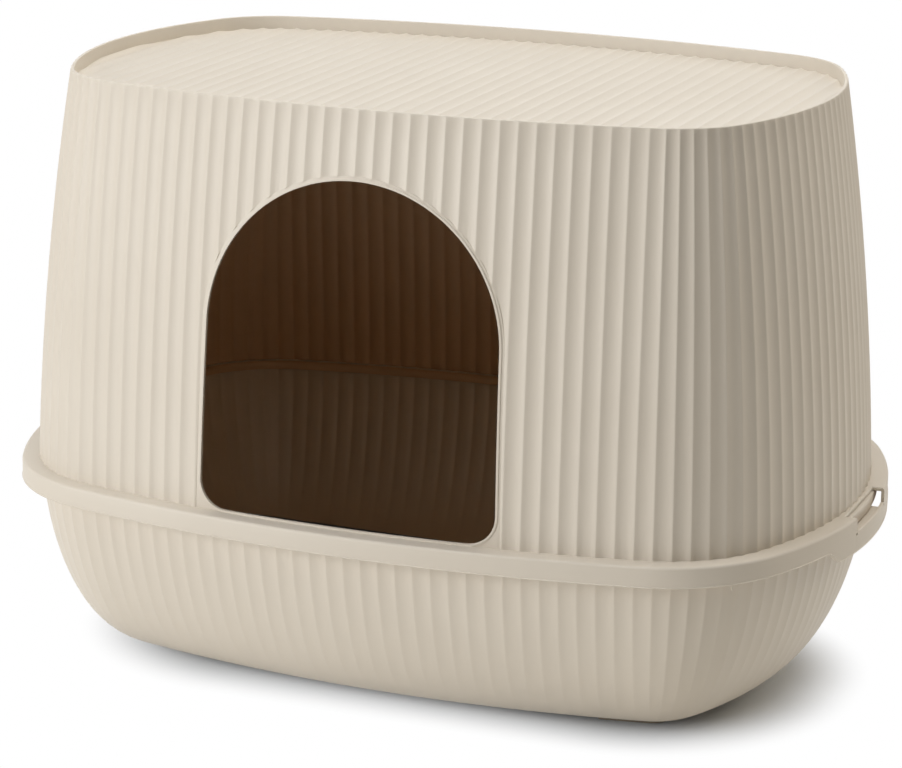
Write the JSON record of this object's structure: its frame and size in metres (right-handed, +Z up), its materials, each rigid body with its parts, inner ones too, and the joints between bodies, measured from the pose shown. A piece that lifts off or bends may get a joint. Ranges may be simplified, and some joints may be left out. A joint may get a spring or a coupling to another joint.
{
  "type": "hooded litter tray",
  "caption": "Oval hooded litter tray: a fluted hood with an arched front entrance lifts off a bowl-shaped pan and is held by a springy latch tab at each end.",
  "frame": {"origin": "on the floor under the middle of the tray", "axes": "+X along the tray's length to the right of someone facing the entrance, +Y from the entrance towards the back, +Z up"},
  "size_m": [0.56, 0.3858, 0.3825],
  "materials": {
    "hood_plastic": "fine moulded matt, warm beige",
    "pan_plastic": "fine moulded matt, warm beige",
    "pad_rubber": "soft matt, brown beige"
  },
  "bodies": {
    "tray": {"pan": "pan_plastic", "pad_front_left": "pad_rubber", "pad_front_right": "pad_rubber", "pad_back_left": "pad_rubber", "pad_back_right": "pad_rubber"},
    "hood": {"hood": "hood_plastic"},
    "latch_left": {"latch_left": "hood_plastic"},
    "latch_right": {"latch_right": "hood_plastic"}
  },
  "joints": [
    {"name": "hood_lift", "type": "slide", "parent": "tray", "child": "hood", "axis": [0, 0, 1], "range_m": [0, 0.2]},
    {"name": "latch_left_flex", "type": "hinge", "parent": "hood", "child": "latch_left", "pos_m": [-0.279, 0, 0.1305], "axis": [0, 1, 0], "range_deg": [0, 10], "stiffness_Nm_per_rad": 0.1},
    {"name": "latch_right_flex", "type": "hinge", "parent": "hood", "child": "latch_right", "pos_m": [0.279, 0, 0.1305], "axis": [0, -1, 0], "range_deg": [0, 10], "stiffness_Nm_per_rad": 0.1}
  ]
}
